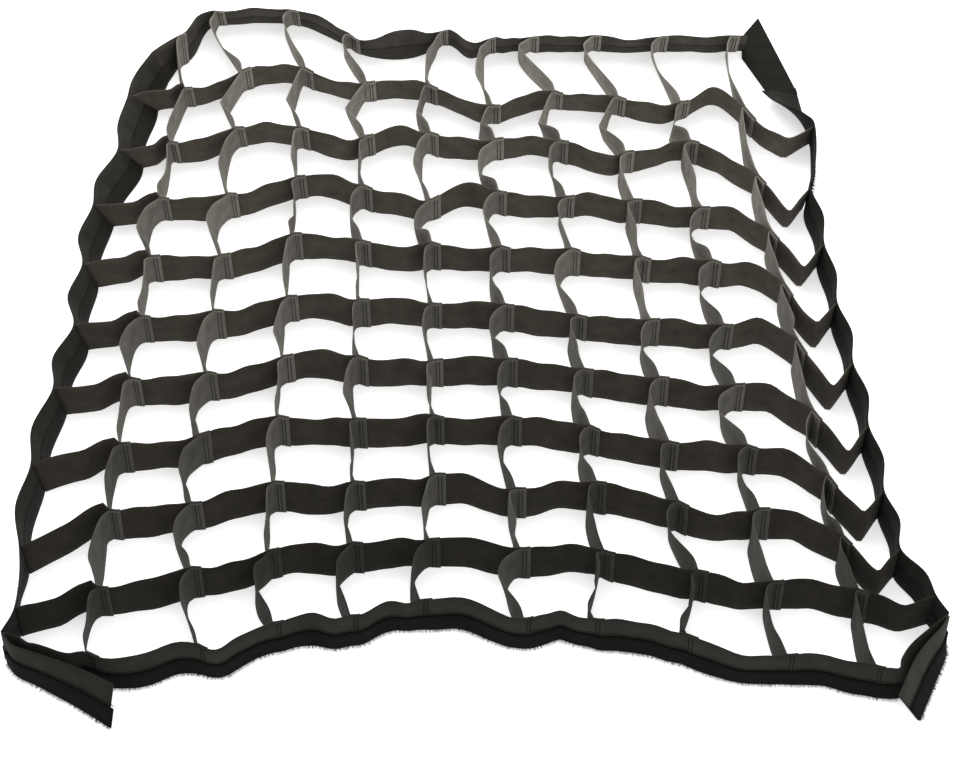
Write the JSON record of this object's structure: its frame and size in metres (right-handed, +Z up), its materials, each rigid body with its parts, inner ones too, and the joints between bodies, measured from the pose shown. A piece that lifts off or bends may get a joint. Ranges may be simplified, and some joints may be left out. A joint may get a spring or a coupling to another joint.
{
  "type": "fabric grid for a softbox",
  "caption": "Black fabric egg-crate grid for a studio softbox, lying loose: webbing ribbons and cross strips form open cells inside a hook-and-loop band.",
  "frame": {"origin": "middle of the footprint, on the surface that the grid lies on", "axes": "+X along the long ribbons, +Y from the near band to the far band, +Z up"},
  "size_m": [0.7686, 0.849, 0.0402],
  "materials": {
    "webbing": "matt woven nylon webbing",
    "grosgrain": "ribbed grosgrain ribbon with a slight sheen",
    "hook_tape": "matt hook-and-loop pile",
    "thread": "sewing thread"
  },
  "bodies": {
    "near_edge": {"near_band": "webbing", "near_tape": "hook_tape", "seams_0": "thread", "left_band": "webbing", "left_tape": "hook_tape", "right_band": "webbing", "right_tape": "hook_tape"},
    "ribbon_1": {"ribbon_1": "webbing", "seams_1": "thread", "strips_row_1": "grosgrain"},
    "ribbon_2": {"ribbon_2": "webbing", "seams_2": "thread", "strips_row_2": "grosgrain"},
    "ribbon_3": {"ribbon_3": "webbing", "seams_3": "thread", "strips_row_3": "grosgrain"},
    "ribbon_4": {"ribbon_4": "webbing", "seams_4": "thread", "strips_row_4": "grosgrain"},
    "ribbon_5": {"ribbon_5": "webbing", "seams_5": "thread", "strips_row_5": "grosgrain"},
    "ribbon_6": {"ribbon_6": "webbing", "seams_6": "thread", "strips_row_6": "grosgrain"},
    "ribbon_7": {"ribbon_7": "webbing", "seams_7": "thread", "strips_row_7": "grosgrain"},
    "ribbon_8": {"ribbon_8": "webbing", "seams_8": "thread", "strips_row_8": "grosgrain"},
    "ribbon_9": {"ribbon_9": "webbing", "seams_9": "thread", "strips_row_9": "grosgrain"},
    "far_edge": {"far_band": "webbing", "far_tape": "hook_tape", "seams_10": "thread", "strips_row_10": "grosgrain"},
    "tail": {"tail_band": "webbing", "tail_tape": "hook_tape"},
    "end_flap": {"end_band": "webbing", "end_tape": "hook_tape"},
    "corner_tab": {"tab_band": "webbing", "tab_tape": "hook_tape"}
  },
  "joints": [
    {"name": "gather_1", "type": "slide", "parent": "near_edge", "child": "ribbon_1", "axis": [0, -1, 0], "range_m": [0, 0.012], "deforming": ["strips_row_1", "left_band", "left_tape", "right_band", "right_tape"]},
    {"name": "gather_2", "type": "slide", "parent": "ribbon_1", "child": "ribbon_2", "axis": [0, -1, 0], "range_m": [0, 0.018], "deforming": ["strips_row_2", "left_band", "left_tape", "right_band", "right_tape"]},
    {"name": "gather_3", "type": "slide", "parent": "ribbon_2", "child": "ribbon_3", "axis": [0, -1, 0], "range_m": [0, 0.03], "deforming": ["strips_row_3", "left_band", "left_tape", "right_band", "right_tape"]},
    {"name": "gather_4", "type": "slide", "parent": "ribbon_3", "child": "ribbon_4", "axis": [0, -1, 0], "range_m": [0, 0.03], "deforming": ["strips_row_4", "left_band", "left_tape", "right_band", "right_tape"]},
    {"name": "gather_5", "type": "slide", "parent": "ribbon_4", "child": "ribbon_5", "axis": [0, -1, 0], "range_m": [0, 0.03], "deforming": ["strips_row_5", "left_band", "left_tape", "right_band", "right_tape"]},
    {"name": "fold_over", "type": "hinge", "parent": "ribbon_5", "child": "ribbon_6", "pos_m": [0, 0.0291, 0.042], "axis": [1, 0, 0], "range_deg": [0, 165], "deforming": ["strips_row_6", "left_band", "left_tape", "right_band", "right_tape"]},
    {"name": "gather_7", "type": "slide", "parent": "ribbon_6", "child": "ribbon_7", "axis": [0, -1, 0], "range_m": [0, 0.03], "deforming": ["strips_row_7", "left_band", "left_tape", "right_band", "right_tape"]},
    {"name": "gather_8", "type": "slide", "parent": "ribbon_7", "child": "ribbon_8", "axis": [0, -1, 0], "range_m": [0, 0.03], "deforming": ["strips_row_8", "left_band", "left_tape", "right_band", "right_tape"]},
    {"name": "gather_9", "type": "slide", "parent": "ribbon_8", "child": "ribbon_9", "axis": [0, -1, 0], "range_m": [0, 0.0252], "deforming": ["strips_row_9", "left_band", "left_tape", "right_band", "right_tape"]},
    {"name": "gather_10", "type": "slide", "parent": "ribbon_9", "child": "far_edge", "axis": [0, -1, 0], "range_m": [0, 0.021], "deforming": ["strips_row_10", "left_band", "left_tape", "right_band", "right_tape"]},
    {"name": "tail_peel", "type": "hinge", "parent": "near_edge", "child": "tail", "pos_m": [-0.3811, -0.3585, 0], "axis": [0, 0, 1], "range_deg": [-110, 0]},
    {"name": "end_peel", "type": "hinge", "parent": "near_edge", "child": "end_flap", "pos_m": [0.3829, -0.3395, 0], "axis": [0, 0, 1], "range_deg": [0, 100]},
    {"name": "tab_lift", "type": "hinge", "parent": "far_edge", "child": "corner_tab", "pos_m": [0.2999, 0.314, 0.0014], "axis": [1, 0, 0], "range_deg": [0, 60]}
  ],
  "couplings": [
    {"joint": "gather_2", "follows": "gather_1", "ratio": 1.5},
    {"joint": "gather_3", "follows": "gather_1", "ratio": 2.5},
    {"joint": "gather_4", "follows": "gather_1", "ratio": 2.5},
    {"joint": "gather_5", "follows": "gather_1", "ratio": 2.5},
    {"joint": "gather_7", "follows": "gather_1", "ratio": 2.5},
    {"joint": "gather_8", "follows": "gather_1", "ratio": 2.5},
    {"joint": "gather_9", "follows": "gather_1", "ratio": 2.1},
    {"joint": "gather_10", "follows": "gather_1", "ratio": 1.75}
  ]
}
